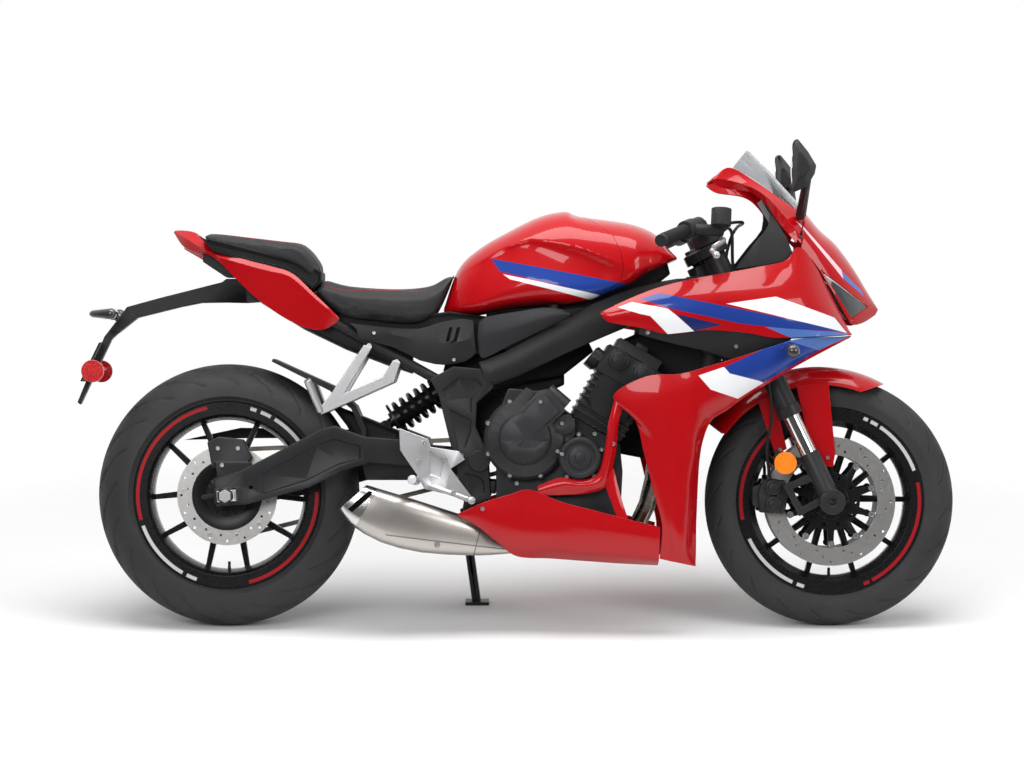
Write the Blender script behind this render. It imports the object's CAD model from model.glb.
"""A sport bike parked on its side stand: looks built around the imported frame."""
from math import acos, asin, atan2, cos, hypot, pi, radians, sin
import bmesh
import bpy
from mathutils import Matrix, Vector
from mathutils.bvhtree import BVHTree


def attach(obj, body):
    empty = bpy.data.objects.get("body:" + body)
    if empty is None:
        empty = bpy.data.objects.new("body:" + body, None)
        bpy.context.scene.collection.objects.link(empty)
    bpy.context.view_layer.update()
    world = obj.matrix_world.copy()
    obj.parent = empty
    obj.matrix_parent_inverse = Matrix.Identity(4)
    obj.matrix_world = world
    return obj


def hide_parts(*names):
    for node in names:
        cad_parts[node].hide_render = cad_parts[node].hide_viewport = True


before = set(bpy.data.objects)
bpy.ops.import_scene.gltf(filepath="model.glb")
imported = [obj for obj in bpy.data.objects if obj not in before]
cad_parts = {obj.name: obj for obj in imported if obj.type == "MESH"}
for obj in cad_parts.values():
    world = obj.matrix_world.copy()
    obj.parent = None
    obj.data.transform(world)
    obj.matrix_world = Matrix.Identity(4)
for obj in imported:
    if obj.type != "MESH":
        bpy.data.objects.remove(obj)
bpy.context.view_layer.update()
scene = bpy.context.scene

# Stance. The bike rests on both tyres and on the stand's foot, leaning to its left. Each piece is modelled
# upright in millimetres, X forward, Y to the rider's left, Z up from the tyres' base, then leaned.
MM = 0.001
LEAN = radians(10)
REAR_WIDTH, REAR_CROWN = 180, 85.04
CROWN_RADIUS = (REAR_WIDTH / 2) ** 2 / REAR_CROWN
MID_X, MIRROR_HEIGHT = -8.06, 1067.6
PARK_AT = Vector((MID_X, -MIRROR_HEIGHT * sin(LEAN), CROWN_RADIUS * (1 - cos(LEAN)))) * MM
LEANED = Matrix.Translation(PARK_AT) @ Matrix.Rotation(-LEAN, 4, "X")
PARKED = LEANED @ Matrix.Scale(MM, 4)

# Camera. The picture is taken square to the bike's right side from ten metres, so it leans with the bike.
# The lens is long enough to keep both wheels round.
VIEW_DISTANCE, VIEW_HEIGHT = 10.3, 0.582
IMAGE_WIDTH, MM_PER_PIXEL = 1024, 2.42


def placed(name, data):
    """An object of its own in the scene."""
    thing = bpy.data.objects.new(name, data)
    scene.collection.objects.link(thing)
    return thing


lens = bpy.data.cameras.new("side_view")
lens.sensor_width = 36
lens.lens = lens.sensor_width * VIEW_DISTANCE * 1000 / (IMAGE_WIDTH * MM_PER_PIXEL)
camera = placed("side_view", lens)
camera.matrix_world = (LEANED @ Matrix.Translation((0, -VIEW_DISTANCE, VIEW_HEIGHT))
                       @ Matrix.Rotation(radians(90), 4, "X"))
scene.camera = camera

# Main frame and subframe. Twin steel spars run from the steering head to wide pivot plates, with a bolted
# tube subframe behind. All of it is welded, then powder coated satin black.


def wire(tree):
    """A short hand for shader nodes: add(kind, inputs in order, settings) gives the node's outputs."""
    def add(kind, *values, **settings):
        node = tree.nodes.new("ShaderNode" + kind)
        for key, value in settings.items():
            setattr(node, key, value)
        for socket, value in zip(node.inputs, values):
            if isinstance(value, bpy.types.NodeSocket):
                tree.links.new(value, socket)
            elif value is not None:
                socket.default_value = value
        return node.outputs
    return add


def cleared(block):
    """Empties the node tree of a finish or of the world; gives the tree and its add."""
    block.use_nodes = True
    block.node_tree.nodes.clear()
    return block.node_tree, wire(block.node_tree)


def effect(name, takes, gives):
    """A shader group with named sockets; gives its tree, its add, its inputs and its outputs."""
    tree = bpy.data.node_groups.new(name, "ShaderNodeTree")
    kinds = {"v": "NodeSocketVector", "f": "NodeSocketFloat"}
    for names, way in ((takes, "INPUT"), (gives, "OUTPUT")):
        for key, kind in names.items():
            tree.interface.new_socket(name=key, in_out=way, socket_type=kinds[kind])
    inputs = tree.nodes.new("NodeGroupInput").outputs
    outputs = tree.nodes.new("NodeGroupOutput").inputs
    return tree, wire(tree), inputs, outputs


def put(socket, value):
    """Links a socket's value, or sets it."""
    if isinstance(value, bpy.types.NodeSocket):
        socket.id_data.links.new(value, socket)
    else:
        socket.default_value = value


def use(add, group, **values):
    """Places a group and fills its named inputs."""
    outputs = add("Group", node_tree=group)
    for key, value in values.items():
        put(outputs[0].node.inputs[key], value)
    return outputs


# Place on the upright bike in millimetres, read from the leaned piece's own coordinates
upright, add, take, give = effect("upright_place", {}, {"Place": "v"})
unlean = Matrix.Rotation(LEAN, 3, "X")
local = add("Mapping", add("TexCoord")["Object"], -(unlean @ PARK_AT), (LEAN, 0, 0), (1, 1, 1))
put(give["Place"], add("VectorMath", local[0], None, None, 1000.0, operation="SCALE")[0])

# Broken tone, patchy gloss and a fine grain; Scale is grains to a metre
grain, add, take, give = effect("grain", {"Place": "v", "Scale": "f"},
                                {"Tone": "f", "Gloss": "f", "Height": "f"})
metres = add("VectorMath", take["Place"], None, None, MM, operation="SCALE")[0]
for key, share, detail in (("Tone", 0.012, 3.0), ("Gloss", 0.11, 4.0), ("Height", 1.0, 2.0)):
    size = add("Math", take["Scale"], share, operation="MULTIPLY")[0]
    put(give[key], add("TexNoise", metres, None, size, detail, 0.55)[0])


def mixed(add, share, a, b):
    """Colour a, with share of colour b."""
    outputs = add("Mix", data_type="RGBA")
    inputs = outputs[0].node.inputs
    for socket, value in ((inputs[0], share), (inputs[6], a), (inputs[7], b)):
        put(socket, value)
    return outputs[2]


def tint(colour, gain=1.0):
    return (colour[0] * gain, colour[1] * gain, colour[2] * gain, 1.0)


SPECULAR, COAT_ROUGH, GRAIN_DEPTH = 0.25, 0.05, 0.0004
NOISE_LOW, NOISE_HIGH, GLOSS_SPREAD = 0.25, 0.75, 0.14


def coated(name, colour, rough, metal=0.0, coat=0.0, tone=0.12, scale=700.0, bump=0.12, marks=(), **sockets):
    """A finish with broken tone and grain. marks are (mask group, colour, roughness), each over the last."""
    material = bpy.data.materials.new(name)
    tree, add = cleared(material)
    place = add("Group", node_tree=upright)["Place"]
    grains = use(add, grain, Place=place, Scale=scale)
    base = mixed(add, grains["Tone"], tint(colour, 1 - tone), tint(colour, 1 + tone))
    gloss = add("MapRange", grains["Gloss"], NOISE_LOW, NOISE_HIGH, rough * (1 - GLOSS_SPREAD),
                rough * (1 + GLOSS_SPREAD))[0]
    for mask_group, over, over_rough in marks:
        mask = use(add, mask_group, Place=place)["Mask"]
        base = mixed(add, mask, base, tint(over))
        gloss = add("Mix", mask, None, gloss, over_rough)[0]
    normal = add("Bump")[0]
    for key, value in (("Strength", bump), ("Distance", GRAIN_DEPTH), ("Height", grains["Height"])):
        put(normal.node.inputs[key], value)
    shader = add("BsdfPrincipled")
    settings = {"Base_Color": base, "Roughness": gloss, "Metallic": metal, "Coat_Weight": coat,
                "Coat_Roughness": COAT_ROUGH, "Specular_IOR_Level": SPECULAR, "Normal": normal, **sockets}
    for key, value in settings.items():
        put(shader[0].node.inputs[key.replace("_", " ")], value)
    put(tree.nodes.new("ShaderNodeOutputMaterial").inputs["Surface"], shader[0])
    return material


MERGED, FLAT = 0.01, radians(0.6)


def node_copy(node):
    """A merged copy of a CAD node, upright in millimetres, with its flat faces made whole."""
    bm = bmesh.new()
    bm.from_mesh(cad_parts[node].data)
    bmesh.ops.transform(bm, matrix=PARKED.inverted(), verts=bm.verts)
    bmesh.ops.remove_doubles(bm, verts=bm.verts, dist=MERGED)
    bmesh.ops.dissolve_limit(bm, angle_limit=FLAT, verts=bm.verts, edges=bm.edges)
    return bm


def mesh_of(bm, name):
    """The mesh of a finished draft, which is freed."""
    mesh = bpy.data.meshes.new(name)
    bm.to_mesh(mesh)
    bm.free()
    return mesh


def fit(bm, name, body, finish, slot, *stands_for, sharp=35, rounded=0.0, steps=2, wall=0.0):
    """Leans a finished mesh with the bike and hangs it on its body. rounded and wall are in millimetres."""
    bmesh.ops.transform(bm, matrix=PARKED, verts=bm.verts)
    if rounded:
        # Rounding a many-sided face can throw spikes, so such faces are split first
        bmesh.ops.triangulate(bm, faces=[face for face in bm.faces if len(face.verts) > 4])
    mesh = mesh_of(bm, name)
    mesh.shade_smooth()
    mesh.set_sharp_from_angle(angle=radians(sharp))
    mesh.materials.append(finish)
    piece = placed(name, mesh)
    if wall:
        thick = piece.modifiers.new("wall", "SOLIDIFY")
        thick.thickness, thick.offset, thick.use_even_offset = wall * MM, -1, True
    if rounded:
        edge = piece.modifiers.new("edges", "BEVEL")
        edge.width, edge.segments, edge.limit_method = rounded * MM, steps, "ANGLE"
        edge.angle_limit, edge.harden_normals = radians(sharp), True
        edge.use_clamp_overlap = edge.loop_slide = False
    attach(piece, body)
    if stands_for:
        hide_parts(*stands_for)
    return piece


def dressed(node, name, body, finish, slot, **looks):
    """Dresses a copy of a CAD node and puts it in the node's place."""
    return fit(node_copy(node), name, body, finish, slot, node, **looks)


BLACK = (0.016, 0.016, 0.0175)
frame_coat = coated("frame_powder_coat", BLACK, 0.42, tone=0.18, scale=2200, bump=0.18)
dressed("main_frame", "frame_spars", "chassis", frame_coat, "frame_black", rounded=2.5)
dressed("subframe", "subframe_tubes", "chassis", frame_coat, "frame_black")

# Engine. An inline four with a sand-cast crankcase and die-cast covers, painted dark grey and bolted into
# the frame at three lugs. The leaning cylinders, head and cam ends are black.
engine_paint = coated("engine_paint", (0.027, 0.027, 0.029), 0.38, metal=0.25, tone=0.22, scale=1500,
                      bump=0.35)
head_paint = coated("head_paint", BLACK, 0.4, metal=0.2, tone=0.22, scale=1500, bump=0.35)
dressed("crankcase", "engine_crankcase", "chassis", engine_paint, "engine_dark", rounded=5.0)
dressed("cylinder_head", "engine_head", "chassis", head_paint, "engine_dark", rounded=2.0)
dressed("engine_covers", "engine_side_covers", "chassis", engine_paint, "engine_dark", rounded=0.5)
zinc = coated("zinc_plate", (0.6, 0.6, 0.6), 0.3, metal=1.0, tone=0.1, scale=900, bump=0.05)
ACROSS = Matrix.Rotation(pi / 2, 4, "X")
RIGHT_OF_BIKE, HEAD_SIDES = -600, 18
# A screw's tip, and its socket's rim, wall and depth, as shares of the head's radius
HEAD_TIP, SOCKET_RIM, SOCKET_WALL, SOCKET_DEPTH = 0.8, 0.34, 0.05, 0.4


def both_sides(bm):
    """Adds the mirror image on the left."""
    bmesh.ops.mirror(bm, geom=bm.verts[:] + bm.edges[:] + bm.faces[:], merge_dist=0, axis="Y")
    return bm


def turned(bm, at, radius, tip_radius, depth, segments, lie=ACROSS):
    """A turned pin or disc about a place, across the bike unless it lies otherwise; gives its faces."""
    made = bmesh.ops.create_cone(bm, cap_ends=True, segments=segments, radius1=radius, radius2=tip_radius,
                                 depth=depth, matrix=Matrix.Translation(at) @ lie)
    return list(dict.fromkeys(face for vert in made["verts"] for face in vert.link_faces))


def rightmost(faces):
    return min(faces, key=lambda face: face.calc_center_median().y)


def sunk(bm, faces, rim, wall, depth):
    """Sinks a panel into each face, inside a rim and down a steep wall."""
    bmesh.ops.inset_individual(bm, faces=faces, thickness=rim)
    bmesh.ops.inset_individual(bm, faces=faces, thickness=wall, depth=-depth)


def surface_of(node):
    """A CAD node's surface, to set small pieces on by a ray."""
    solid = node_copy(node)
    tree = BVHTree.FromBMesh(solid)
    solid.free()
    return tree


def screws(name, body, node, spots, radius, mirrored=True):
    """Button-head screws with a hex socket, on a node's right side at spots of (x, z), and on its left."""
    surface = surface_of(node)
    bm = bmesh.new()
    for x, z in spots:
        at = surface.ray_cast(Vector((x, RIGHT_OF_BIKE, z)), Vector((0, 1, 0)))[0]
        if at:
            head = turned(bm, at, radius, radius * HEAD_TIP, radius, HEAD_SIDES)
            sunk(bm, [rightmost(head)], radius * SOCKET_RIM, radius * SOCKET_WALL, radius * SOCKET_DEPTH)
    return fit(both_sides(bm) if mirrored else bm, name, body, zinc, "silver_alloy", sharp=30)


def ring_of(middle, radius, count, first):
    """Spots evenly round a middle in side view, the first at an angle in degrees."""
    turns = (radians(first + 360 * i / count) for i in range(count))
    return [(middle[0] + radius * cos(a), middle[1] + radius * sin(a)) for a in turns]


screws("engine_cover_screws", "chassis", "engine_covers",
       ring_of((31, 452), 95, 8, 22.5) + ring_of((161, 407), 55, 5, 20), 5.5, False)
screws("crankcase_screws", "chassis", "crankcase",
       [(-67, 513), (-69, 447), (-37, 391), (11, 345), (123, 482), (197, 463), (60, 250), (150, 250)], 6,
       False)

# Air box and radiator. The air box is a black moulding between the spars; the radiator's aluminium core and
# round end tanks are painted black and hang on rubber bushes behind the front wheel.
moulding = coated("black_moulding", (0.0155, 0.0155, 0.017), 0.5, tone=0.15, scale=2600, bump=0.3)
dressed("airbox", "intake_air_box", "chassis", moulding, "black_plastic", rounded=6.0, steps=3)
core_paint = coated("radiator_paint", (0.01, 0.01, 0.011), 0.5, metal=0.2, scale=1800, bump=0.2)
dressed("radiator", "radiator_core", "chassis", core_paint, "core_black", rounded=1.0)

# Core fillings. Moulded trays and covers close the bike's middle between frame, tank and engine: the
# battery's tray, the rear seat's base, throttle bodies, trays, boxes, a splash guard and a liner, held by
# rubber plugs.
TRAY_RIM, TRAY_WALL, TRAY_SUNK = 7, 2, 3


def slab(outline, y, depth):
    """A plate from its outline in side view, from y on through its depth."""
    bm = bmesh.new()
    face = bm.faces.new([bm.verts.new((x, y, z)) for x, z in outline])
    made = bmesh.ops.extrude_face_region(bm, geom=[face])["geom"]
    bmesh.ops.translate(bm, vec=(0, depth, 0), verts=[v for v in made if isinstance(v, bmesh.types.BMVert)])
    bmesh.ops.recalc_face_normals(bm, faces=bm.faces)
    return bm


def filling(outline, half):
    """A box with a sunk panel on each side, from its outline in side view."""
    bm = slab(outline, -half, 2 * half)
    flanks = [face for face in bm.faces if abs(face.normal.y) > 0.9]
    sunk(bm, flanks, TRAY_RIM, TRAY_WALL, TRAY_SUNK)
    return bm


liner_black = coated("liner_black", (0.006, 0.006, 0.0065), 0.6, tone=0.2, scale=2000, bump=0.4)
for name, outline, half in (
        ("battery_tray", [(-425, 724), (-345, 700), (-190, 655), (-60, 652), (-60, 744), (-150, 756),
                          (-240, 745), (-425, 750)], 96),
        ("passenger_seat_base", [(-742, 930), (-716, 899), (-628, 871), (-544, 852), (-506, 830), (-478, 806),
                                 (-456, 826), (-456, 852), (-500, 874), (-600, 900), (-716, 928)], 99),
        ("throttle_bodies", [(-46, 566), (-52, 662), (20, 648), (126, 660), (178, 696), (196, 660),
                             (120, 600)], 58),
        ("wiring_tray", [(-62, 736), (-62, 754), (0, 764), (60, 768), (130, 776), (180, 792), (226, 810),
                         (300, 850), (372, 876), (380, 846), (310, 790), (214, 752)], 84),
        ("fuse_box", [(-166, 612), (-150, 668), (5, 672), (5, 640), (-40, 598), (-120, 598)], 70),
        ("clutch_hose_cover", [(-96, 560), (-96, 470), (-62, 436), (-10, 470), (40, 540), (126, 580),
                               (126, 606), (60, 604), (-40, 592)], 46),
        ("splash_guard", [(-438, 534), (-398, 482), (-378, 446), (-271, 446), (-271, 468), (-350, 500)], 62),
        ("coolant_tank", [(236, 620), (268, 690), (330, 716), (452, 700), (462, 640), (440, 570),
                          (330, 560)], 66),
        ("heat_liner", [(236, 540), (330, 556), (398, 540), (398, 430), (330, 400), (226, 420)], 12)):
    fit(filling(outline, half), name, "chassis", liner_black, "black_plastic", rounded=3.0)

# Exhaust. Four stainless headers sweep down ahead of the engine into a low silencer, pressed in two halves
# with a slanted, polished outlet. It is clamped to the headers and bolted under the frame.


def inward(outline):
    """A point on each edge of a convex outline in side view, with the edge's normal inwards."""
    corners = [Vector((x, 0, z)) for x, z in outline]
    middle = sum(corners, Vector()) / len(corners)
    for a, b in zip(corners, corners[1:] + corners[:1]):
        normal = Vector((a.z - b.z, 0, b.x - a.x)).normalized()
        yield a, -normal if normal.dot(middle - a) < 0 else normal


def patch(name, corners, edge=0.5):
    """A mask inside a convex outline in the bike's side view, corners as (x, z)."""
    tree, add, take, give = effect("patch_" + name, {"Place": "v"}, {"Mask": "f"})
    inside = None
    for start, normal in inward(corners):
        along = add("VectorMath", take["Place"], normal, operation="DOT_PRODUCT")["Value"]
        depth = add("Math", along, normal.dot(start), operation="SUBTRACT")[0]
        inside = add("Math", inside, depth, operation="MINIMUM")[0] if inside else depth
    put(give["Mask"], add("MapRange", inside, -edge, edge, 0.0, 1.0)[0])
    return tree


header_steel = coated("header_steel", (0.4, 0.35, 0.3), 0.26, metal=1.0, tone=0.25, scale=900, bump=0.05)
outlet = patch("silencer_outlet", [(-430, 236), (-430, 362), (-322, 362), (-322, 322), (-378, 236)])
mouth = patch("silencer_mouth", [(-390, 286), (-340, 329), (-331, 327), (-333, 318), (-379, 277)])
seam = patch("silencer_seam", [(-300, 226), (-300, 223), (-20, 186), (-20, 189)])
band = patch("silencer_band", [(-96, 160), (-93, 160), (-66, 270), (-69, 270)])
silencer_steel = coated("silencer_steel", (0.5, 0.47, 0.44), 0.36, metal=1.0, tone=0.05, scale=2600, bump=0.1,
                        marks=[(outlet, (0.66, 0.65, 0.63), 0.22), (mouth, (0.008, 0.008, 0.008), 0.8),
                               (seam, (0.2, 0.19, 0.18), 0.5), (band, (0.22, 0.21, 0.2), 0.5)])
dressed("header_pipes", "exhaust_headers", "chassis", header_steel, "exhaust_steel")
dressed("silencer", "exhaust_silencer", "chassis", silencer_steel, "exhaust_steel", sharp=30, rounded=2.0)
soot = coated("outlet_soot", (0.01, 0.01, 0.01), 0.8, scale=900)
OUTLET_AT, OUTLET_UP = Vector((-370, -168, 303)), Vector((0.751, 0, 0.66))
OUTLET_HALF_WIDTH, OUTLET_HALF_HEIGHT, OUTLET_POWER = 33, 31, 0.6
OUTLET_LIP, OUTLET_DEPTH = 7, 5


def power(value, p):
    return abs(value) ** p * (1 if value >= 0 else -1)


hollow = bmesh.new()
bmesh.ops.create_circle(hollow, cap_ends=True, segments=36, radius=1)
for vert in hollow.verts:
    across, up = (power(v, OUTLET_POWER) for v in vert.co.xy)
    vert.co = OUTLET_AT + Vector((0, OUTLET_HALF_WIDTH * across, 0)) + OUTLET_UP * OUTLET_HALF_HEIGHT * up
bmesh.ops.inset_region(hollow, faces=hollow.faces[:], thickness=OUTLET_LIP, depth=-OUTLET_DEPTH)
fit(hollow, "silencer_hollow", "chassis", soot, "exhaust_steel")
screws("silencer_screws", "chassis", "silencer", [(-178, 200)], 8, False)

# Footrests. Pressure-cast aluminium plates carry the pegs, the brake pedal and the gear lever; the
# passenger's hangers bolt under the subframe. All are bright under clear lacquer.
cast_alloy = coated("cast_alloy", (0.5, 0.5, 0.51), 0.36, metal=0.9, tone=0.08, scale=1600, bump=0.2)
dressed("rider_pegs", "rider_peg_plates", "chassis", cast_alloy, "silver_alloy", rounded=1.5)
HANGER = [(-354, 676), (-334, 670), (-400, 560), (-308, 600), (-284, 640), (-266, 634), (-282, 586),
          (-420, 524), (-456, 508), (-464, 522), (-440, 548)]
HANGER_Y, HANGER_DEPTH = -127, 13
HANGER_RODS = [((-458, -122, 516), (-488, -160, 592), 9), ((-342, -124, 672), (-342, -112.2, 672), 7),
               ((-276, -124, 634), (-276, -113.4, 634), 7)]


def laid_along(way):
    """The turn that lays an upright piece along a way."""
    return way.to_track_quat("Z", "Y").to_matrix().to_4x4()


hanger = slab(HANGER, HANGER_Y, HANGER_DEPTH)
for foot, tip, radius in HANGER_RODS:
    foot, tip = Vector(foot), Vector(tip)
    turned(hanger, (tip + foot) / 2, radius, radius, (tip - foot).length, 24, laid_along(tip - foot))
bmesh.ops.recalc_face_normals(hanger, faces=hanger.faces)
fit(both_sides(hanger), "passenger_peg_hangers", "chassis", cast_alloy, "silver_alloy", "passenger_pegs",
    rounded=2.0)
screws("peg_plate_screws", "chassis", "rider_pegs", [(-209, 442), (-223, 397), (-160, 402), (-139, 323)], 6.5)

# Swingarm, shock and rear brake. A pressed and welded steel arm turns on the pivot rod; a coil spring wraps
# the damper over it, and the caliper rides on the arm's right end.
REAR_AXLE = Vector((-683.88, 0, 315))
arm_coat = coated("arm_powder_coat", BLACK, 0.4, tone=0.18, scale=2000, bump=0.18)
spring_paint = coated("spring_paint", (0.008, 0.008, 0.009), 0.3, tone=0.15, scale=900, bump=0.1)
dressed("swingarm", "swingarm_pressing", "chassis", arm_coat, "arm_black", rounded=3.0)
dressed("rear_shock", "rear_shock_coil", "chassis", spring_paint, "arm_black")
dressed("rear_guards", "rear_guard_mouldings", "chassis", moulding, "black_plastic", rounded=1.0)
dressed("rear_caliper", "rear_brake_caliper", "chassis", arm_coat, "rim_black", rounded=2.5)
screws("rear_caliper_screws", "chassis", "rear_caliper", [(-704, 428), (-656, 428), (-694, 388)], 6, False)
BLOCK_AT, BLOCK_SIZE, BLOCK_TILT = Vector((3, -155.6, 0)), (46, 3, 27, 1), radians(-4)
BLOCK_RIM, BLOCK_WALL, BLOCK_SUNK = 3, 1, 1
NUT_AT, NUT_R, NUT_TIP_R, NUT_DEPTH = Vector((0, -163, 0)), 17, 15.5, 13
adjuster = bmesh.new()
bmesh.ops.create_cube(adjuster, size=1, matrix=Matrix.Translation(REAR_AXLE + BLOCK_AT)
                      @ Matrix.Rotation(BLOCK_TILT, 4, "Y") @ Matrix.Diagonal(BLOCK_SIZE))
sunk(adjuster, [rightmost(adjuster.faces)], BLOCK_RIM, BLOCK_WALL, BLOCK_SUNK)
turned(adjuster, REAR_AXLE + NUT_AT, NUT_R, NUT_TIP_R, NUT_DEPTH, 6)
fit(both_sides(adjuster), "axle_adjuster_blocks", "chassis", cast_alloy, "silver_alloy", rounded=1.0)

# Drive chain. Pressed steel side plates, riveted over pins with rollers between them, in a loop round the
# engine's sprocket and the rear wheel's. The adjuster blocks on the rear axle keep it tight.
PITCH, CHAIN_Y = 15.875, 104
INNER_PLATE, OUTER_PLATE = 5.2, 7.4
PLATE_SIZE, PLATE_ROUND = (PITCH + 9, 2, 11, 1), 5
PIN_R, PIN_LENGTH = 2.6, 17.6
ROLLER_R, ROLLER_LENGTH = 4.6, 8
REAR_CHAIN_R, FRONT_CHAIN_R = 106, 38
ENGINE_SPROCKET = Vector((6, 0, 414))
reach = ENGINE_SPROCKET - REAR_AXLE
slope = atan2(reach.z, reach.x)
closing = asin((REAR_CHAIN_R - FRONT_CHAIN_R) / reach.length)
run = reach.length * cos(closing)
rear_wrap = (pi + 2 * closing) * REAR_CHAIN_R
front_wrap = (pi - 2 * closing) * FRONT_CHAIN_R
loop = 2 * run + rear_wrap + front_wrap


def ray(a):
    return Vector((cos(a), 0, sin(a)))


def on_chain(s):
    """The place on the loop at s along it from the rear sprocket's top."""
    top, low = slope + pi / 2 - closing, slope - pi / 2 + closing
    if s < run:
        return REAR_AXLE + ray(top) * REAR_CHAIN_R + ray(top - pi / 2) * s
    s -= run
    if s < front_wrap:
        return ENGINE_SPROCKET + ray(top - s / FRONT_CHAIN_R) * FRONT_CHAIN_R
    s -= front_wrap
    if s < run:
        return ENGINE_SPROCKET + ray(low) * FRONT_CHAIN_R + ray(low - pi / 2) * s
    return REAR_AXLE + ray(low - (s - run) / REAR_CHAIN_R) * REAR_CHAIN_R


links = 2 * round(loop / PITCH / 2)
chain = bmesh.new()
for i in range(links):
    a, b = on_chain(i * loop / links), on_chain((i + 1) % links * loop / links)
    turn = Matrix.Rotation(-atan2(b.z - a.z, b.x - a.x), 4, "Y")
    for side in (-1, 1):
        y = CHAIN_Y + side * (OUTER_PLATE if i % 2 else INNER_PLATE)
        at = Matrix.Translation((a + b) / 2 + Vector((0, y, 0))) @ turn
        plate = bmesh.ops.create_cube(chain, size=1, matrix=at @ Matrix.Diagonal(PLATE_SIZE))
        corners = dict.fromkeys(edge for vert in plate["verts"] for edge in vert.link_edges
                                if abs((edge.verts[0].co - edge.verts[1].co).y) > 1)
        bmesh.ops.bevel(chain, geom=list(corners), offset=PLATE_ROUND, segments=3, profile=0.5,
                        affect="EDGES", material=-1)
    pin = a + Vector((0, CHAIN_Y, 0))
    turned(chain, pin, PIN_R, PIN_R, PIN_LENGTH, 10)
    turned(chain, pin, ROLLER_R, ROLLER_R, ROLLER_LENGTH, 12)
chain_steel = coated("chain_steel", (0.24, 0.22, 0.19), 0.4, metal=0.9, tone=0.3, scale=1500, bump=0.1)
fit(chain, "drive_chain_links", "chassis", chain_steel, "chain_steel", "drive_chain")
dressed("rear_sprocket", "rear_sprocket_plate", "rear_wheel", chain_steel, "chain_steel", rounded=0.8)

# Wheels. Cast aluminium rims with five pairs of thin spokes, black with tape arcs on the rim's side, carry
# tubeless radial tyres with a slanted road tread. Steel rotors float on bobbins or are bolted on.
FRONT_AXLE = Vector((766.12, 0, 300))
polar, add, take, give = effect("wheel_polar", {"Place": "v", "Axle": "v"}, {"Radius": "f", "Angle": "f"})
arm = add("SeparateXYZ", add("VectorMath", take["Place"], take["Axle"], operation="SUBTRACT")[0])
flat = add("CombineXYZ", arm["X"], 0.0, arm["Z"])[0]
put(give["Radius"], add("VectorMath", flat, operation="LENGTH")["Value"])
put(give["Angle"], add("Math", arm["Z"], arm["X"], operation="ARCTAN2")[0])


def tape(name, axle, arcs, radius=215, half=4.2):
    """A mask of arcs on a rim's side, as (first, last) in degrees up from straight ahead."""
    tree, add, take, give = effect("tape_" + name, {"Place": "v"}, {"Mask": "f"})
    wheel = use(add, polar, Place=take["Place"], Axle=axle)
    off = add("Math", add("Math", wheel["Radius"], radius, operation="SUBTRACT")[0], operation="ABSOLUTE")[0]
    ring = add("MapRange", off, half + 0.4, half - 0.4, 0.0, 1.0)[0]
    lit = None
    for first, last in arcs:
        swung = add("Math", wheel["Angle"], radians((first + last) / 2), operation="SUBTRACT")[0]
        away = add("Math", add("Math", swung, pi, -pi, operation="WRAP")[0], operation="ABSOLUTE")[0]
        arc = add("Math", away, radians(abs(last - first) / 2), operation="LESS_THAN")[0]
        lit = add("Math", lit, arc, operation="MAXIMUM")[0] if lit else arc
    put(give["Mask"], add("Math", ring, lit, operation="MULTIPLY")[0])
    return tree


TREAD_BLOCKS, TREAD_DEPTH, TREAD_ABOVE = 20, 3.5, 4
SPIN_STEPS, SPIN_CUTS, CROWN_STEP = 160, 3, 2.5
GROOVE_SLOPE, GROOVE_END = 0.4, 0.04
# Each groove's slant and shift, where it starts and ends across the half width, and its width
GROOVES = ((0.022, 0.0, 0.06, 0.62, 0.055), (0.03, 0.42, 0.42, 0.93, 0.045))
TAPE_RED, TAPE_WHITE = (0.3, 0.008, 0.012), (0.5, 0.5, 0.51)
RUBBER = (0.028, 0.028, 0.0295)
BEAD_R, RIM_INNER_R, RIM_FLANGE = 216, 194, 7
# The sidewall's rise over the bead and its reach past the rim's edge
SIDEWALL = [(6, -8), (9.5, -3), (12, 1.2), (14, 0.6)]
VALVE_R, VALVE_TIP_R, VALVE_LENGTH, VALVE_SIDES = 5, 3.6, 26, 16
# Insets and lifts that draw the valve's cap out of its stem
VALVE_CAP = ((0.8, 1.5), (-1.0, 0.4), (0.6, 7))


def groove(turn, y, half):
    """How deep, from 0 to 1, the tread is cut at a share of the turn and at y across half the width."""
    deepest = 0
    for slant, shift, low, high, width in GROOVES:
        phase = (turn * TREAD_BLOCKS + abs(y) * slant + shift + (0.5 if y > 0 else 0)) % 1
        line = (width - abs(phase - 0.5)) / (width * GROOVE_SLOPE)
        reach = abs(y) / half
        deepest = max(deepest, min(1, line, (reach - low) / GROOVE_END, (high - reach) / GROOVE_END))
    return deepest


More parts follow.
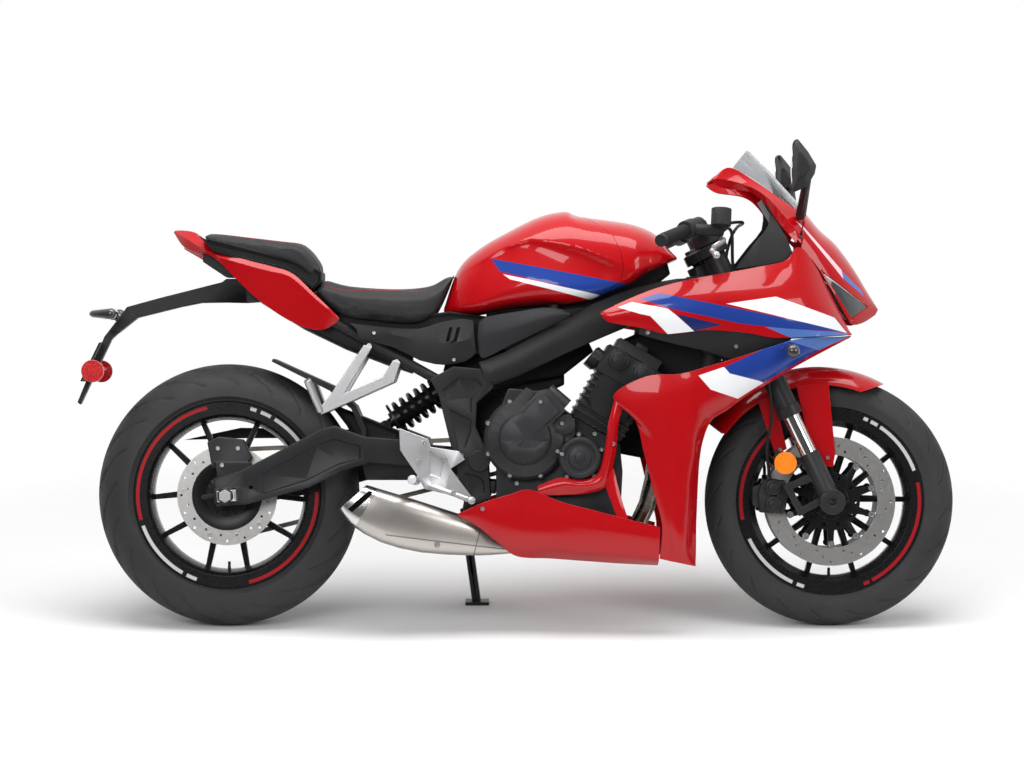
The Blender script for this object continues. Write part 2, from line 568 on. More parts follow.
def tyre(axle, radius, width, crown_h, rim_half):
    """A tyre's skin, spun from its section of beads, ribbed sidewalls and round crown, its tread cut in."""
    bm = bmesh.new()
    widest = radius - crown_h
    turns = [radians(CROWN_STEP * i) for i in range(-34, 35)]
    crown = [(widest + crown_h * cos(t), width / 2 * sin(t)) for t in turns]
    wall = [(BEAD_R + rise, rim_half + out) for rise, out in SIDEWALL]
    section = [(r, -y) for r, y in wall] + crown + [(r, y) for r, y in reversed(wall)]
    verts = [bm.verts.new(axle + Vector((r, y, 0))) for r, y in section]
    edges = [bm.edges.new(pair) for pair in zip(verts, verts[1:])]
    bmesh.ops.spin(bm, geom=verts + edges, cent=axle, axis=(0, 1, 0), angle=2 * pi, steps=SPIN_STEPS,
                   use_merge=True)
    round_edges = [edge for edge in bm.edges if abs(edge.verts[0].co.y - edge.verts[1].co.y) < 0.001]
    bmesh.ops.subdivide_edges(bm, edges=round_edges, cuts=SPIN_CUTS, use_grid_fill=True)
    bmesh.ops.recalc_face_normals(bm, faces=bm.faces)
    for vert in bm.verts:
        out = vert.co - axle
        r, y = hypot(out.x, out.z), out.y
        if r > widest + TREAD_ABOVE:
            cut = TREAD_DEPTH * groove(atan2(out.z, out.x) / (2 * pi), y, width / 2)
            vert.co -= Vector((out.x / r, y / width, out.z / r)) * cut
    return bm


rubber = coated("tyre_rubber", RUBBER, 0.62, tone=0.3, scale=900, bump=0.3)
rotor_steel = coated("rotor_steel", (0.62, 0.61, 0.6), 0.34, metal=1.0, tone=0.1, scale=1500, bump=0.05)
carrier_black = coated("carrier_black", (0.008, 0.008, 0.009), 0.3, metal=0.1, scale=1500, bump=0.1)
TAPED = {"front": ([(20, 56), (58, 63), (65, 68), (-155, -115), (-112, -107)],
                   [(-62, 12), (-68, -64), (-230, -168)]),
         "rear": ([(35, 58), (61, 68), (71, 75), (200, 240), (243, 250)], [(103, 196), (284, 362)])}
for side, axle, radius, width, crown_h, rim_w in (("front", FRONT_AXLE, 300, 120, 57.96, 89),
                                                  ("rear", REAR_AXLE, 315, REAR_WIDTH, REAR_CROWN, 140)):
    body = side + "_wheel"
    white, red = TAPED[side]
    rim_coat = coated(side + "_rim_coat", (0.008, 0.008, 0.009), 0.28, metal=0.1, tone=0.15, scale=900,
                      bump=0.015, marks=[(tape(side + "_white", axle, white), TAPE_WHITE, 0.3),
                                         (tape(side + "_red", axle, red), TAPE_RED, 0.3)])
    dressed(side + "_rim", side + "_wheel_casting", body, rim_coat, "rim_black", rounded=1.5)
    fit(tyre(axle, radius, width, crown_h, rim_w / 2 + RIM_FLANGE), side + "_tyre_carcass", body, rubber,
        "tyre_rubber", side + "_tyre", sharp=50)
    valve = bmesh.new()
    stem = turned(valve, axle - Vector((0, 0, RIM_INNER_R - 10)), VALVE_R, VALVE_TIP_R, VALVE_LENGTH,
                  VALVE_SIDES, lie=Matrix())
    cap = max(stem, key=lambda face: face.calc_center_median().z)
    for inset, lift in VALVE_CAP:
        bmesh.ops.inset_individual(valve, faces=[cap], thickness=inset, depth=lift)
    fit(valve, side + "_valve_stem", body, rim_coat, "rim_black", sharp=30)
dressed("front_rotors", "front_brake_rotors", "front_wheel", rotor_steel, "rotor_steel", rounded=0.4)
dressed("rear_rotor", "rear_brake_rotor", "rear_wheel", rotor_steel, "rotor_steel", rounded=0.4)
dressed("front_carriers", "front_rotor_carriers", "front_wheel", carrier_black, "rim_black", rounded=0.8)
BOBBIN_RING, BOBBIN_Y, BOBBIN_R, BOBBIN_DEPTH, BOBBIN_SIDES = 103, -74.5, 8, 4, 20
BOBBIN_RIM, BOBBIN_WALL, BOBBIN_SUNK = 3, 0.6, 1.4
bobbins = bmesh.new()
for x, z in ring_of((FRONT_AXLE.x, FRONT_AXLE.z), BOBBIN_RING, 10, 18):
    bobbin = turned(bobbins, (x, BOBBIN_Y, z), BOBBIN_R, BOBBIN_R, BOBBIN_DEPTH, BOBBIN_SIDES)
    caps = [face for face in bobbin if len(face.verts) == BOBBIN_SIDES]
    sunk(bobbins, caps, BOBBIN_RIM, BOBBIN_WALL, BOBBIN_SUNK)
fit(both_sides(bobbins), "front_rotor_bobbins", "front_wheel", zinc, "silver_alloy", sharp=30)
CARRIER_AT, CARRIER_R, CARRIER_TIP_R, CARRIER_DEPTH = Vector((0, -82, 0)), 85, 83, 3
CARRIER_RIM, CARRIER_WALL, CARRIER_SUNK = 24, 3, 1.6
rear_disc = bmesh.new()
disc_faces = turned(rear_disc, REAR_AXLE + CARRIER_AT, CARRIER_R, CARRIER_TIP_R, CARRIER_DEPTH, 72)
sunk(rear_disc, [rightmost(disc_faces)], CARRIER_RIM, CARRIER_WALL, CARRIER_SUNK)
fit(rear_disc, "rear_rotor_carrier", "rear_wheel", carrier_black, "rim_black", rounded=0.5)
screws("rear_rotor_screws", "rear_wheel", "rear_rotor", ring_of((REAR_AXLE.x, REAR_AXLE.z), 104, 5, 30), 6,
       False)

# Steering. Forged yokes clamp the fork's black outer tubes; hard-chromed inner tubes slide into cast feet
# that hold the calipers and the hollow axle. Bars, levers and grips clip on above.
chrome = coated("fork_chrome", (0.82, 0.82, 0.83), 0.07, metal=1.0, tone=0.03, scale=800, bump=0.01)
grip_rubber = coated("grip_rubber", (0.008, 0.008, 0.008), 0.7, tone=0.2, scale=1200, bump=0.5)
hose_cover = coated("hose_cover", (0.014, 0.014, 0.014), 0.45, tone=0.15, scale=1200, bump=0.2)
amber = coated("amber_lens", (0.8, 0.2, 0.01), 0.2, coat=0.6, tone=0.3, scale=3200, bump=0.6)
for node, name, finish, slot, edge in (
        ("yokes", "fork_yokes", frame_coat, "frame_black", 2.5),
        ("fork_outers", "fork_outer_tubes", arm_coat, "arm_black", 1.0),
        ("fork_inners", "fork_inner_tubes", chrome, "chrome_tube", 0),
        ("fork_feet", "fork_cast_feet", engine_paint, "arm_black", 2.5),
        ("handlebars", "clip_on_bars", moulding, "frame_black", 1.5),
        ("grips", "bar_grips", grip_rubber, "grip_rubber", 1.5),
        ("levers", "brake_and_clutch_levers", cast_alloy, "silver_alloy", 0),
        ("front_calipers", "front_brake_calipers", arm_coat, "rim_black", 2.5),
        ("brake_hoses", "front_brake_hoses", hose_cover, "hose_rubber", 0),
        ("fork_reflectors", "fork_side_reflectors", amber, "lens_amber", 1.0)):
    dressed(node, name, "steering", finish, slot, rounded=edge)

# Fuel tank and its front cover. A pressed steel tank with scalloped sides and a moulded cover towards the
# bars, both in gloss red with a blue and a white stripe under the lacquer. A bolt at the back and rubber
# pads in front hold the tank on the spars.


def between(rows, t):
    """The row at t along a table, on a smooth curve through its rows."""
    i = min(int(t), len(rows) - 2)
    near = (rows[max(0, min(j, len(rows) - 1))] for j in range(i - 1, i + 3))
    t -= i
    return [b + 0.5 * t * (c - a + t * (2 * a - 5 * b + 4 * c - d + t * (3 * b - a - 3 * c + d)))
            for a, b, c, d in zip(*near)]


def shell(table, around, along):
    """A closed body along X. Columns: x, lowest, widest and highest z, half width, upper and lower power."""
    bm = bmesh.new()
    bmesh.ops.create_uvsphere(bm, u_segments=around, v_segments=along, radius=1)
    for vert in bm.verts:
        ring = acos(max(-1, min(1, -vert.co.z))) / pi * along
        t = max(0, min(1, (ring - 1) / (along - 2))) * (len(table) - 1)
        x, low, wide, high, half, upper, lower = between(table, t)
        a = atan2(vert.co.y, vert.co.x)
        p = upper if sin(a) >= 0 else lower
        open_here = 0 if ring < 0.5 or ring > along - 0.5 else 1
        rise = (high - wide if sin(a) >= 0 else wide - low) * power(sin(a), p)
        vert.co = (x, -open_here * half * power(cos(a), p), wide + open_here * rise)
    bmesh.ops.recalc_face_normals(bm, faces=bm.faces)
    return bm


def level(line, x):
    """The second value of a polyline at its first, flat beyond its ends."""
    if x <= line[0][0]:
        return line[0][1]
    for (x0, z0), (x1, z1) in zip(line, line[1:]):
        if x <= x1:
            return z0 + (z1 - z0) * (x - x0) / (x1 - x0)
    return line[-1][1]


RED = (0.37, 0.0012, 0.004)
BLUE, PALE_BLUE, WHITE = (0.012, 0.04, 0.24), (0.07, 0.15, 0.42), (0.74, 0.75, 0.77)


def painted(name, *stripes):
    """Gloss red under clear lacquer, with stripes as (corners in side view, colour)."""
    marks = [(patch("%s_%d" % (name, i), corners), colour, 0.3)
             for i, (corners, colour) in enumerate(stripes)]
    return coated(name, RED, 0.32, coat=0.6, tone=0.05, scale=300, bump=0.008, marks=marks,
                  Specular_IOR_Level=0.1)


tank_paint = painted("tank_paint", ([(-50, 882), (-29, 878), (286, 818), (214, 791), (-29, 851)], BLUE),
                     ([(-21, 844), (-5, 832), (190, 782), (209, 794)], WHITE))
TANK = [[-164, 748, 756, 766, 52, 0.9, 0.8], [-130, 744, 776, 858, 96, 0.8, 0.7],
        [-78, 748, 796, 909, 128, 0.75, 0.6], [0, 762, 820, 954, 158, 0.72, 0.6],
        [68, 768, 834, 986, 176, 0.72, 0.6], [130, 770, 842, 998, 184, 0.72, 0.55],
        [196, 784, 848, 990, 184, 0.75, 0.5], [222, 796, 852, 985, 182, 0.75, 0.5]]
TANK_COVER = [[222.8, 796, 852, 985, 182, 0.75, 0.5], [290, 832, 866, 969, 172, 0.8, 0.5],
              [346, 856, 876, 943, 146, 0.85, 0.5], [378, 872, 882, 908, 112, 0.9, 0.6],
              [396, 880, 884, 890, 74, 1, 0.8]]
SHOULDER = [(-120, 850), (-52, 887), (-17, 906), (43, 925), (91, 918), (162, 902), (210, 882), (300, 842)]
SCALLOP_DEPTH, SCALLOP_FALL, SCALLOP_POWER = 13, 96, 0.6
REAR_END, REAR_FADE, FRONT_END, FRONT_FADE = -140, 120, 330, 110
TANK_CORE = 60
SEAM_X, SEAM_REACH = 222, 110
SEAM = [(795, 222), (830, 258), (859, 266), (902, 257), (935, 240), (959, 212), (985, 168)]


def pressed(bm):
    """Bows the seam between tank and cover, and presses the knee hollows in below the shoulder line."""
    for vert in bm.verts:
        near = max(0, 1 - abs(vert.co.x - SEAM_X) / SEAM_REACH)
        vert.co.x += near * near * (3 - 2 * near) * (level(SEAM, vert.co.z) - SEAM_X)
        below = level(SHOULDER, vert.co.x) - vert.co.z
        if 0 < below < SCALLOP_FALL and abs(vert.co.y) > TANK_CORE:
            fade = max(0, min(1, (vert.co.x - REAR_END) / REAR_FADE, (FRONT_END - vert.co.x) / FRONT_FADE))
            depth = SCALLOP_DEPTH * fade * sin(pi * (below / SCALLOP_FALL) ** SCALLOP_POWER)
            vert.co.y -= depth if vert.co.y > 0 else -depth
    return bm


for table, along, name, node in ((TANK, 90, "fuel_tank_pressing", "fuel_tank"),
                                 (TANK_COVER, 50, "tank_front_cover", "tank_cover")):
    fit(pressed(shell(table, 120, along)), name, "chassis", tank_paint, "red_paint", node, sharp=50)

# Knee panels and side covers. Injection-moulded, grained black sheets over the spar and the subframe. Pegs
# push into rubber grommets, and two screws a side hold the cover's ends.


def facing(bm, way):
    """Turns a sheet's faces so that together they look along a way."""
    bm.normal_update()
    if sum((face.normal * face.calc_area() for face in bm.faces), Vector()).dot(Vector(way)) < 0:
        bmesh.ops.reverse_faces(bm, faces=bm.faces)
    return bm


def sheet(along, across, half=1):
    """A flat square sheet about the middle, to be shaped."""
    bm = bmesh.new()
    bmesh.ops.create_grid(bm, x_segments=along, y_segments=across, size=half)
    return bm


def panel(rows, along, across, creased=False):
    """A sheet on the right side through rows of (x, half width, z), open at its edges."""
    bm = sheet(along, across)
    for vert in bm.verts:
        u, v = ((c + 1) / 2 for c in vert.co.xy)
        v *= len(rows[0]) - 1
        i = min(int(v), len(rows[0]) - 2)
        line = [[a + (b - a) * (v - i) for a, b in zip(row[i], row[i + 1])] if creased else between(row, v)
                for row in rows]
        x, half, z = between(line, u * (len(rows) - 1))
        vert.co = (x, -half, z)
    return facing(bm, (0, -1, 0))


KNEE = [[(-80, 140, 660), (-82, 148, 694), (-80, 146, 728)],
        [(-66, 142, 644), (-62, 156, 700), (-60, 150, 742)],
        [(0, 148, 676), (4, 166, 716), (6, 156, 754)], [(68, 152, 708), (70, 172, 736), (72, 160, 764)],
        [(112, 154, 730), (112, 168, 746), (112, 160, 762)],
        [(138, 154, 744), (138, 158, 748), (138, 156, 752)]]
PANEL_WALL = 4
knee_grain = coated("knee_moulding", (0.02, 0.02, 0.022), 0.55, tone=0.12, scale=3000, bump=0.4)
fit(both_sides(panel(KNEE, 40, 12)), "knee_mouldings", "chassis", knee_grain, "black_plastic", "knee_panels",
    wall=PANEL_WALL, rounded=1.2)
dressed("side_covers", "side_mouldings", "chassis", moulding, "black_plastic", rounded=1.0)
screws("side_cover_screws", "chassis", "side_covers", [(-139, 640), (-330, 704)], 5)

# Seats. Moulded foam under a stretched, grained black cover with red stitching. The cover is stapled under
# a plastic base, which hooks and clips into the undertray.
seat_cover = coated("seat_cover", (0.02, 0.02, 0.0215), 0.52, tone=0.15, scale=2600, bump=0.7)
stitch_thread = coated("stitch_thread", (0.45, 0.01, 0.015), 0.6, tone=0.2, scale=4000, bump=0.4)
FOAM_VOXEL, FOAM_START, FOAM_CAP = 0.005, 0.003, 0.005
FOAM_PRESSURE, FOAM_FRAMES = 4, 20
THREAD_R, THREAD_LIFT, THREAD_ROUND = 0.0009, 0.0004, 0.0003
STITCH_PITCH, STITCH_SHARE, OVER_SEAT = 0.006, 0.72, 1.2


def swollen(piece):
    """Lets the cover swell over its foam: an even mesh, shrunk a little, is blown up as cloth, kept near."""
    even = piece.modifiers.new("even", "REMESH")
    even.mode, even.voxel_size = "VOXEL", FOAM_VOXEL
    graph = bpy.context.evaluated_depsgraph_get()
    mesh = bpy.data.meshes.new_from_object(piece.evaluated_get(graph))
    piece.modifiers.clear()
    piece.data = mesh
    for vert, normal in [(vert, vert.normal.copy()) for vert in mesh.vertices]:
        vert.co -= normal * FOAM_START
    start = [vert.co.copy() for vert in mesh.vertices]
    cloth = piece.modifiers.new("cover", "CLOTH")
    cloth.settings.use_pressure = True
    cloth.settings.uniform_pressure_force = FOAM_PRESSURE
    cloth.settings.effector_weights.gravity = 0
    for step in range(1, FOAM_FRAMES + 1):
        scene.frame_set(step)
    graph = bpy.context.evaluated_depsgraph_get()
    blown = [vert.co.copy() for vert in piece.evaluated_get(graph).data.vertices]
    piece.modifiers.clear()
    scene.frame_set(1)
    for vert, old, new in zip(mesh.vertices, start, blown):
        move = new - old
        vert.co = old + move * min(1, FOAM_CAP / max(move.length, 1e-9))
    mesh.shade_smooth()


def stitched(name, seat, lines):
    """Rows of short thread stitches on a seat along lines of (x, y), the seat found by a ray from above."""
    tree = BVHTree.FromObject(seat, bpy.context.evaluated_depsgraph_get())
    bm = bmesh.new()
    up = LEANED.to_3x3() @ Vector((0, 0, 1))
    for line in lines:
        marks = [LEANED @ Vector((x / 1000, y / 1000, OVER_SEAT)) for x, y in line]
        spots = []
        for a, b in zip(marks, marks[1:]):
            count = max(1, round((b - a).length / STITCH_PITCH))
            spots += [tree.ray_cast(a + (b - a) * i / count, -up)[0] for i in range(count)]
        spots = [spot for spot in spots if spot]
        for a, b in zip(spots, spots[1:]):
            lie = Matrix.Translation((a + b) / 2 + up * THREAD_LIFT) @ laid_along(b - a)
            made = bmesh.ops.create_cone(bm, cap_ends=True, segments=8, radius1=THREAD_R, radius2=THREAD_R,
                                         depth=(b - a).length * STITCH_SHARE, matrix=lie)
            ends = dict.fromkeys(edge for vert in made["verts"] for edge in vert.link_edges)
            bmesh.ops.bevel(bm, geom=list(ends), offset=THREAD_ROUND, segments=1, profile=0.5, affect="EDGES",
                            material=-1)
    bmesh.ops.transform(bm, matrix=PARKED.inverted(), verts=bm.verts)
    return fit(bm, name, "chassis", stitch_thread, "seat_vinyl")


for node, name in (("rider_seat", "rider_seat_pad"), ("passenger_seat", "passenger_seat_pad")):
    seat = dressed(node, name, "chassis", seat_cover, "seat_vinyl")
    swollen(seat)
    finer = seat.modifiers.new("finer", "SUBSURF")
    finer.levels = finer.render_levels = 1
    if node == "rider_seat":
        lines = [[(-452, y), (-400, y * 1.12), (-320, y * 1.2), (-240, y * 1.1), (-200, y * 0.9)]
                 for y in (-88, 88)]
    else:
        lines = [[(-706, y * 0.5), (-640, y * 0.86), (-560, y), (-500, y)] for y in (-74, 74)]
        lines.append([(-500, y) for y in range(-74, 75, 37)])
    stitched(node + "_stitching", seat, lines)

# Tail. Red side panels with a pressed crease meet in a point behind the passenger's seat; the lamp, the
# moulded undertray and the long plate arm are screwed to the subframe below.
tail_paint = painted("tail_paint")
TAIL = [[(-816, 8, 948), (-816, 9, 950), (-814, 8, 952)],
        [(-788, 40, 910), (-782, 50, 930), (-766, 34, 946)],
        [(-718, 86, 886), (-716, 94, 893), (-712, 80, 903)],
        [(-660, 98, 832), (-640, 110, 868), (-630, 104, 878)],
        [(-608, 104, 784), (-588, 120, 854), (-576, 114, 864)],
        [(-545, 108, 740), (-530, 128, 838), (-524, 120, 846)],
        [(-492, 110, 716), (-475, 130, 790), (-470, 124, 796)],
        [(-452, 114, 712), (-438, 128, 758), (-434, 124, 762)],
        [(-420, 116, 728), (-414, 120, 736), (-412, 119, 739)]]


def arch(table, along, around):
    """A sheet over the centre plane. Columns: top x and z, side x and z, half width, power."""
    bm = sheet(along, around)
    for vert in bm.verts:
        top_x, top_z, side_x, side_z, half, p = between(table, (vert.co.x + 1) / 2 * (len(table) - 1))
        a = vert.co.y * pi / 2
        c = max(cos(a), 0) ** p
        vert.co = (side_x + (top_x - side_x) * c, half * power(sin(a), p), side_z + (top_z - side_z) * c)
    return facing(bm, (0, 0, 1))


def joined(*meshes):
    """One mesh of several."""
    bm = meshes[0]
    for other in meshes[1:]:
        mesh = mesh_of(other, "joined")
        bm.from_mesh(mesh)
        bpy.data.meshes.remove(mesh)
    return bm


TAIL_CAP = [[-815, 954, -815, 944, 6, 1], [-780, 946, -784, 928, 34, 0.8], [-755, 943, -758, 925, 44, 0.8]]
fit(joined(both_sides(panel(TAIL, 72, 12, creased=True)), arch(TAIL_CAP, 12, 20)), "tail_panels", "chassis",
    tail_paint, "red_paint", "tail_cowl", sharp=24, wall=3.5, rounded=0.8)
red_lens = coated("red_lens", (0.42, 0.006, 0.008), 0.15, coat=0.8, tone=0.3, scale=3200, bump=0.4)
smoke_lens = coated("smoke_lens", (0.03, 0.03, 0.032), 0.1, coat=1.0, tone=0.2, scale=600, bump=0.05)
for node, name, finish, slot, edge in (
        ("undertray", "undertray_moulding", moulding, "black_plastic", 1.0),
        ("plate_bracket", "plate_arm", moulding, "black_plastic", 2.0),
        ("tail_lamp", "tail_lamp_lens", red_lens, "lens_red", 2.0),
        ("rear_indicators", "rear_indicator_lenses", smoke_lens, "lens_smoke", 0),
        ("rear_reflectors", "rear_reflector_discs", red_lens, "lens_red", 1.5)):
    dressed(node, name, "chassis", finish, slot, rounded=edge)

# Upper fairing. A red, thin-walled moulding from the tank's flank to the nose, with blue and white stripes
# under the lacquer. Screws and grommets hold it to the black infill and the frame.
UPPER = [[(216, 206, 738), (213, 207, 744), (211, 207, 748), (209, 206, 752)],
         [(234, 212, 727), (242, 217, 742), (250, 216, 757), (262, 204, 778)],
         [(303, 218, 715), (310, 227, 745), (322, 226, 775), (339, 206, 809)],
         [(370, 224, 700), (380, 235, 740), (395, 232, 785), (422, 203, 831)],
         [(460, 228, 709), (470, 239, 750), (480, 234, 795), (500, 198, 845)],
         [(552, 228, 703), (560, 236, 750), (568, 226, 800), (580, 188, 860)],
         [(623, 222, 691), (632, 226, 745), (640, 212, 805), (650, 172, 876)],
         [(700, 200, 694), (705, 200, 745), (703, 184, 810), (684, 155, 908)],
         [(760, 168, 697), (758, 162, 745), (746, 148, 800), (726, 140, 862)],
         [(815, 108, 700), (808, 106, 710), (804, 105, 718), (800, 104, 726)]]
upper_paint = painted("upper_paint",
                      ([(303, 784), (349, 798), (802, 706), (654, 712), (540, 725), (383, 759)], BLUE),
                      ([(597, 717), (805, 703), (732, 662), (643, 699)], PALE_BLUE),
                      ([(388, 748), (497, 722), (431, 707)], (0.01, 0.02, 0.11)),
                      ([(251, 764), (284, 776), (369, 760), (327, 743), (303, 748)], WHITE),
                      ([(327, 743), (369, 760), (388, 745), (431, 707), (369, 700)], WHITE),
                      ([(507, 772), (625, 789), (769, 740), (801, 704), (659, 736)], WHITE))
fit(both_sides(panel(UPPER, 84, 24)), "upper_panels", "chassis", upper_paint, "red_paint", "upper_fairings",
    wall=PANEL_WALL, rounded=1.0)

# Lower fairing. One moulding a side: a blade from the nose down behind the wheel, a belly panel rolled
# under the engine, and the strut and brace that frame its vents. Screws join it to the upper panel.
BLADE = [[(812, 108, 695), (811, 107, 694), (810, 106, 693), (808, 105, 692)],
         [(684, 204, 689), (684, 200, 668), (684, 190, 648), (684, 168, 628)],
         [(612, 225, 670), (614, 223, 640), (618, 211, 612), (622, 182, 590)],
         [(553, 231, 651), (556, 230, 620), (560, 217, 585), (562, 187, 556)],
         [(447, 233, 619), (462, 234, 585), (490, 221, 545), (512, 187, 520)],
         [(394, 229, 606), (410, 233, 565), (445, 223, 520), (474, 184, 494)],
         [(316, 222, 600), (350, 231, 545), (425, 223, 480), (455, 176, 448)],
         [(240, 210, 553), (320, 223, 500), (418, 219, 420), (447, 166, 400)],
         [(292, 206, 495), (340, 217, 440), (412, 213, 370), (444, 158, 352)],
         [(312, 204, 420), (346, 211, 380), (410, 206, 310), (442, 150, 300)],
         [(337, 198, 320), (362, 203, 300), (408, 197, 250), (440, 144, 240)],
         [(356, 190, 245), (375, 192, 225), (406, 188, 200), (440, 138, 195)],
         [(351, 168, 166), (375, 168, 160), (405, 165, 154), (439, 130, 146)]]
BELLY = [[(352, 188, 242), (351, 184, 205), (350, 168, 165), (349, 120, 148)],
         [(271, 192, 262), (268, 190, 222), (262, 172, 178), (262, 118, 152)],
         [(190, 192, 283), (184, 190, 236), (178, 172, 186), (175, 116, 158)],
         [(114, 190, 303), (106, 188, 250), (96, 172, 196), (92, 114, 164)],
         [(43, 186, 331), (30, 184, 262), (16, 171, 204), (12, 134, 170)],
         [(-5, 183, 320), (-20, 182, 268), (-30, 174, 224), (-36, 162, 206)],
         [(-70, 180, 300), (-76, 180, 278), (-82, 176, 256), (-86, 170, 245)],
         [(-128, 178, 274), (-128, 178, 271), (-127, 177, 268), (-126, 175, 266)]]
STRUT = [[(244, 204, 552), (254, 207, 544), (266, 203, 534)],
         [(228, 200, 490), (240, 208, 490), (254, 198, 492)],
         [(222, 196, 440), (234, 206, 440), (250, 192, 445)],
         [(210, 192, 385), (224, 202, 385), (243, 188, 400)],
         [(194, 190, 362), (208, 198, 350), (224, 184, 340)],
         [(160, 188, 355), (168, 196, 340), (180, 182, 322)],
         [(114, 186, 360), (122, 192, 342), (130, 180, 318)],
         [(60, 184, 340), (62, 188, 328), (64, 184, 316)]]
BRACE = [[(214, 186, 362), (228, 190, 372), (242, 186, 382)],
         [(236, 188, 300), (248, 191, 306), (260, 186, 312)],
         [(250, 190, 264), (262, 191, 263), (276, 189, 262)]]
lower_paint = painted("lower_paint", ([(441, 602), (500, 622), (597, 585), (536, 547), (470, 569)], WHITE),
                      ([(502, 622), (642, 687), (676, 694), (731, 662), (672, 628), (600, 586), (515, 607)],
                       BLUE),
                      ([(642, 687), (676, 694), (815, 700), (731, 662)], PALE_BLUE))
fit(both_sides(joined(panel(BLADE, 96, 24), panel(BELLY, 64, 20), panel(STRUT, 48, 10), panel(BRACE, 16, 8))),
    "lower_panels", "chassis", lower_paint, "red_paint", "lower_fairings", wall=PANEL_WALL, rounded=1.0)
screws("lower_panel_screws", "chassis", "lower_fairings", [(240, 440), (-70, 285)], 6)
screws("infill_screws", "chassis", "inner_cowl", [(322, 704), (531, 671)], 6)

# Nose, screen and lamps. A red arched nose with slanted lamp windows, a lightly smoked screen in a
# surround, and black mouldings round the cockpit, all screwed to a stay ahead of the steering head, which
# the mirrors share.
NOSE = [[704, 1000, 690, 906, 148, 0.8], [740, 956, 730, 860, 136, 0.8], [782, 918, 772, 794, 118, 0.8],
        [824, 862, 812, 730, 92, 0.8], [856, 810, 842, 728, 60, 0.85], [886, 762, 878, 748, 12, 1]]
LAMP = [(742, 850), (858, 768), (816, 738)]
WING = [[(476, 128, 1068), (478, 130, 1070), (480, 128, 1073)],
        [(502, 126, 1050), (498, 132, 1072), (520, 122, 1100)],
        [(568, 124, 1040), (562, 134, 1056), (584, 112, 1066)],
        [(604, 126, 1014), (606, 138, 1030), (640, 106, 1028)],
        [(640, 136, 962), (652, 146, 980), (684, 102, 996)],
        [(678, 152, 918), (686, 150, 938), (700, 112, 972)]]


def windowed(bm, outline):
    """Cuts a three-sided window, seen from the side, through both flanks of a sheet."""
    planes = list(inward(outline))
    for start, normal in planes:
        bmesh.ops.bisect_plane(bm, geom=bm.verts[:] + bm.edges[:] + bm.faces[:], dist=MERGED, plane_co=start,
                               plane_no=normal)
    gone = [face for face in bm.faces
            if all(normal.dot(face.calc_center_median() - start) > 0 for start, normal in planes)]
    bmesh.ops.delete(bm, geom=gone, context="FACES")
    return bm


nose_paint = painted("nose_paint", ([(679, 971), (692, 962), (790, 855), (794, 834)], (0.75, 0.5, 0.55)),
                     ([(795, 834), (791, 853), (840, 808), (847, 793)], PALE_BLUE))
fit(joined(windowed(arch(NOSE, 60, 48), LAMP), both_sides(panel(WING, 44, 12, creased=True))), "nose_panel",
    "chassis", nose_paint, "red_paint", "nose_cowl", wall=PANEL_WALL, rounded=1.0, sharp=30)
daylight = patch("lamp_strip", [(744, 846), (752, 838), (846, 774), (850, 772), (846, 778), (752, 842)])
lamp_glass = coated("lamp_glass", (0.05, 0.052, 0.056), 0.08, coat=1.0, tone=0.3, scale=500, bump=0.05,
                    marks=[(daylight, (0.7, 0.72, 0.74), 0.1)])
dressed("headlamps", "headlamp_lenses", "chassis", lamp_glass, "lens_smoke")
SCREEN = [[569, 1148, 530, 1100, 104, 0.8], [630, 1086, 590, 1066, 106, 0.8], [698, 1010, 676, 1002, 98, 0.8]]
screen_tint = coated("screen_tint", (0.62, 0.63, 0.65), 0.05, tone=0.02, scale=200, bump=0.0,
                     Transmission_Weight=0.92, IOR=1.2)
fit(arch(SCREEN, 32, 40), "windscreen_sheet", "chassis", screen_tint, "screen", "windscreen", wall=3,
    rounded=0.6)
dressed("inner_cowl", "cockpit_infill", "chassis", moulding, "black_plastic", rounded=0.8)
dressed("mirrors", "mirror_housings", "chassis", moulding, "black_plastic", rounded=4.0, steps=3, sharp=20)
housing = surface_of("mirrors")
GLASS_Y, GLASS_Z, GLASS_HALF_WIDTH, GLASS_HALF_HEIGHT, GLASS_PROUD = -322, 1090, 27, 44, 0.8
BEHIND_MIRRORS = 400
glass = sheet(18, 18)
for vert in glass.verts:
    u, v = vert.co.xy
    y = GLASS_Y + GLASS_HALF_WIDTH * u * (1 - v * v / 2) ** 0.5
    z = GLASS_Z + GLASS_HALF_HEIGHT * v * (1 - u * u / 2) ** 0.5
    hit = housing.ray_cast(Vector((BEHIND_MIRRORS, y, z)), Vector((1, 0, 0)))[0]
    vert.co = (hit.x - GLASS_PROUD, y, z)
bmesh.ops.recalc_face_normals(glass, faces=glass.faces)
mirror_glass = coated("mirror_glass", (0.8, 0.81, 0.82), 0.04, metal=1.0, tone=0.02, scale=300, bump=0.004)
fit(both_sides(glass), "mirror_glasses", "chassis", mirror_glass, "chrome_tube", wall=0.7)
dressed("front_indicators", "front_indicator_lenses", "chassis", smoke_lens, "lens_smoke")

# Front fender. A thin red moulding over the tyre, painted as the tail is. Two legs a side are bolted to the
# fork's feet, so it steers with them.
dressed("front_fender", "front_fender_panel", "steering", tail_paint, "red_paint", rounded=0.8)
screws("fender_screws", "steering", "front_fender", [(758, 405), (644, 424)], 5.5)

# Side stand. A forged leg with a welded foot, powder coated black. It turns on a hinge bolt below the left
# pivot plate.
dressed("side_stand", "side_stand_leg", "side_stand", frame_coat, "arm_black", rounded=0.3)

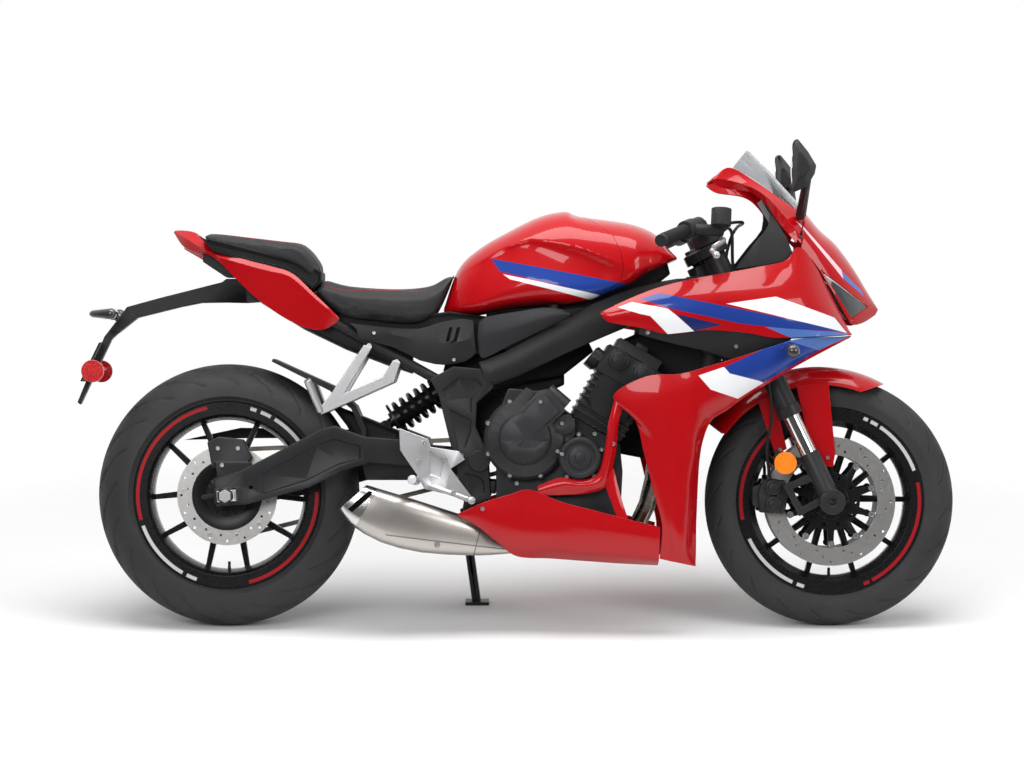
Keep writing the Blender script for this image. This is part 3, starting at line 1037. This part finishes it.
# Studio. A pale floor that fades out round the bike into a white sky, and three softboxes: above, beside
# the camera and ahead of the bike. None of it is part of the object.
FLOOR_HALF, FLOOR_FULL, FLOOR_GONE = 6, 1.0, 2.1
AMBIENT, CAMERA_SIDE, BEHIND, ABOVE = 0.5, 0.08, 1.0, 0.42
floor_mesh = mesh_of(sheet(2, 2, FLOOR_HALF), "floor")
floor_piece = placed("floor", floor_mesh)
pale = bpy.data.materials.new("pale_floor")
tree, add = cleared(pale)
spot = add("TexCoord")["Object"]
tone = add("TexNoise", spot, None, 3.0, 3.0, 0.5)[0]
paper = add("BsdfDiffuse", mixed(add, tone, (0.78, 0.78, 0.78, 1), (0.82, 0.82, 0.82, 1)), 0.0)
away = add("VectorMath", spot, operation="LENGTH")["Value"]
fade = add("MapRange", away, FLOOR_FULL, FLOOR_GONE, 1.0, 0.0)[0]
laid = add("MixShader", fade, add("BsdfTransparent")[0], paper[0])
put(tree.nodes.new("ShaderNodeOutputMaterial").inputs["Surface"], laid[0])
floor_mesh.materials.append(pale)

scene.world = bpy.data.worlds.new("studio")
tree, add = cleared(scene.world)
path = add("LightPath")
way = add("SeparateXYZ", add("TexCoord")["Generated"])
behind = add("MapRange", way["Y"], -0.5, 0.15, CAMERA_SIDE, BEHIND)[0]
above = add("MapRange", way["Z"], 0.25, 0.8, 0.0, ABOVE)[0]
mirrored = add("Math", behind, above, operation="MAXIMUM")[0]
mirror_ray = add("Math", path["Is Glossy Ray"], path["Is Transmission Ray"], operation="MAXIMUM")[0]
soft = add("Mix", mirror_ray, None, AMBIENT, mirrored)[0]
strength = add("Mix", path["Is Camera Ray"], None, soft, 1.0)[0]
sky = add("Background", (1, 1, 1, 1), strength)
put(tree.nodes.new("ShaderNodeOutputWorld").inputs["Surface"], sky[0])
for name, at, aim, size, watts in (
        ("top_softbox", (0.0, -0.5, 3.2), (0, 0, 0.5), (3.6, 1.6), 110),
        ("side_softbox", (-1.6, -4.2, 2.6), (0, 0, 0.6), (2.6, 1.6), 85),
        ("front_softbox", (3.2, -2.6, 1.9), (0.3, 0, 0.6), (1.6, 1.8), 50)):
    light = bpy.data.lights.new(name, "AREA")
    light.shape, light.size, light.size_y, light.energy = "RECTANGLE", size[0], size[1], watts
    lamp = placed(name, light)
    lamp.location = at
    lamp.rotation_euler = (Vector(aim) - Vector(at)).to_track_quat("-Z", "Y").to_euler()

scene.view_settings.view_transform = "Standard"
